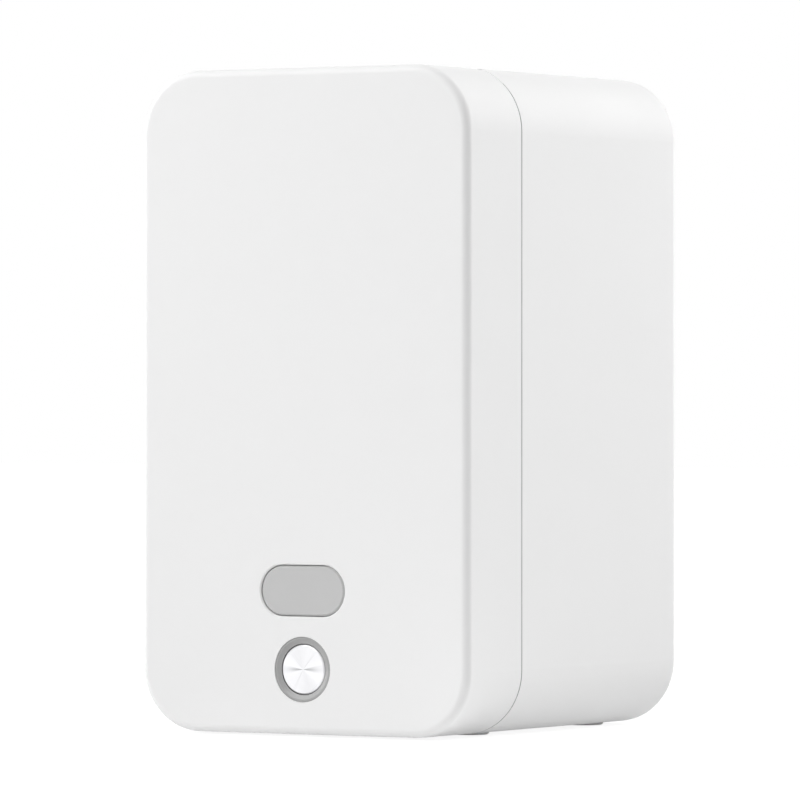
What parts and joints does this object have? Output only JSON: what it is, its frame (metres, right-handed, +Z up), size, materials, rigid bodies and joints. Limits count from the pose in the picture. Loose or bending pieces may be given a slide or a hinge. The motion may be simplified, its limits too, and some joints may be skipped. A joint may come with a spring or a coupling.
{
  "type": "thermal label printer",
  "caption": "Upright portable thermal label printer: rounded white case with a top-hinged front cover, release and power buttons, roll bin, platen, print head and gear train.",
  "frame": {"origin": "centre of the printer's footprint, on the surface that its feet stand on", "axes": "+Z up; the front cover with the buttons faces -Y; +X to the right seen from the front"},
  "size_m": [0.077, 0.085, 0.1335],
  "materials": {
    "case_white": "fine moulded matt",
    "inner_white": "moulded",
    "ring_grey": "satin",
    "button_grey": "satin",
    "spun_metal": "spun",
    "board": "solder mask",
    "dark_plastic": "moulded",
    "spring_steel": "drawn",
    "platen_rubber": "ground",
    "steel": "turned",
    "gear_plastic": "acetal",
    "zinc_steel": "zinc plated",
    "ceramic": "glazed ceramic",
    "bracket_aluminium": "extruded",
    "brass": "cut",
    "guide_grey": "moulded",
    "battery_wrap": "heat shrink film",
    "foot_rubber": "moulded"
  },
  "bodies": {
    "body": {"rear_shell": "case_white", "inner_frame": "inner_white", "hinge_pins": "steel", "keeper_wire": "spring_steel", "mechanism_frame": "zinc_steel", "head_pivot_pin": "steel", "head_springs": "spring_steel", "motor": "zinc_steel", "gear_studs": "steel", "tear_bar": "steel", "battery": "battery_wrap", "main_board": "board", "board_parts": "dark_plastic", "charging_port": "steel", "gap_sensor": "dark_plastic", "tag_board": "board", "rear_screws": "steel", "frame_screws": "steel", "board_screws": "steel", "rubber_feet": "foot_rubber"},
    "cover": {"front_cover": "case_white", "cover_liner": "inner_white", "cover_screws": "steel", "light_ring": "ring_grey", "button_board": "board", "power_switch": "dark_plastic", "open_button_spring": "spring_steel", "latch_springs": "spring_steel", "platen_bushings": "gear_plastic"},
    "power_key": {"power_button": "spun_metal", "switch_plunger": "dark_plastic"},
    "release_key": {"open_button": "button_grey"},
    "release_slide": {"latch_slider": "inner_white"},
    "platen": {"platen_roller": "platen_rubber", "platen_shaft": "steel", "platen_gear": "gear_plastic"},
    "head": {"print_head": "ceramic", "head_bracket": "bracket_aluminium"},
    "motor_rotor": {"motor_pinion": "brass"},
    "idler": {"idler_gear": "gear_plastic"},
    "compound": {"compound_gear": "gear_plastic"},
    "left_guide": {"guide_left": "guide_grey"},
    "right_guide": {"guide_right": "guide_grey"},
    "left_hub": {"hub_left": "dark_plastic"},
    "right_hub": {"hub_right": "dark_plastic"},
    "guide_wheel": {"guide_pinion": "gear_plastic"}
  },
  "joints": [
    {"name": "cover_hinge", "type": "hinge", "parent": "body", "child": "cover", "pos_m": [0, -0.01815, 0.1301], "axis": [-1, 0, 0], "range_deg": [0, 90], "deforming": ["keeper_wire"]},
    {"name": "power_press", "type": "slide", "parent": "cover", "child": "power_key", "axis": [0, 1, 0], "range_m": [0, 0.0005], "stiffness_N_per_m": 2000, "springref_m": -0.0002},
    {"name": "release_press", "type": "slide", "parent": "cover", "child": "release_key", "axis": [0, 1, 0], "range_m": [0, 0.0025], "stiffness_N_per_m": 500, "springref_m": -0.001, "deforming": ["open_button_spring"]},
    {"name": "release_lift", "type": "slide", "parent": "cover", "child": "release_slide", "axis": [0, 0, 1], "range_m": [0, 0.0025], "stiffness_N_per_m": 300, "springref_m": -0.001, "deforming": ["latch_springs"]},
    {"name": "platen_spin", "type": "hinge", "parent": "cover", "child": "platen", "pos_m": [0, -0.0202, 0.1175], "axis": [1, 0, 0], "continuous": true},
    {"name": "compound_spin", "type": "hinge", "parent": "body", "child": "compound", "pos_m": [0, -0.0102, 0.1175], "axis": [1, 0, 0], "continuous": true},
    {"name": "idler_spin", "type": "hinge", "parent": "body", "child": "idler", "pos_m": [0, -0.00825, 0.10515], "axis": [1, 0, 0], "continuous": true},
    {"name": "motor_spin", "type": "hinge", "parent": "body", "child": "motor_rotor", "pos_m": [0, -0.00684, 0.09627], "axis": [1, 0, 0], "continuous": true},
    {"name": "head_swing", "type": "hinge", "parent": "body", "child": "head", "pos_m": [0, -0.01185, 0.106], "axis": [-1, 0, 0], "range_deg": [0, 2.5], "stiffness_Nm_per_rad": 0.2, "springref_deg": -2.86, "deforming": ["head_springs"]},
    {"name": "left_guide_slide", "type": "slide", "parent": "body", "child": "left_guide", "axis": [1, 0, 0], "range_m": [0, 0.015]},
    {"name": "right_guide_slide", "type": "slide", "parent": "body", "child": "right_guide", "axis": [-1, 0, 0], "range_m": [0, 0.015]},
    {"name": "guide_wheel_spin", "type": "hinge", "parent": "body", "child": "guide_wheel", "pos_m": [0, 0.0334, 0.0049], "axis": [0, 0, 1], "range_deg": [0, 286.58]},
    {"name": "left_hub_spin", "type": "hinge", "parent": "left_guide", "child": "left_hub", "pos_m": [0, 0.0082, 0.0348], "axis": [1, 0, 0], "continuous": true},
    {"name": "right_hub_spin", "type": "hinge", "parent": "right_guide", "child": "right_hub", "pos_m": [0, 0.0082, 0.0348], "axis": [1, 0, 0], "continuous": true}
  ],
  "couplings": [
    {"joint": "release_lift", "follows": "release_press", "ratio": 1},
    {"joint": "compound_spin", "follows": "platen_spin", "ratio": -1.5},
    {"joint": "idler_spin", "follows": "platen_spin", "ratio": 1.625},
    {"joint": "motor_spin", "follows": "platen_spin", "ratio": -3.25},
    {"joint": "right_guide_slide", "follows": "left_guide_slide", "ratio": 1},
    {"joint": "guide_wheel_spin", "follows": "left_guide_slide", "rad_per_m": 333.33}
  ]
}
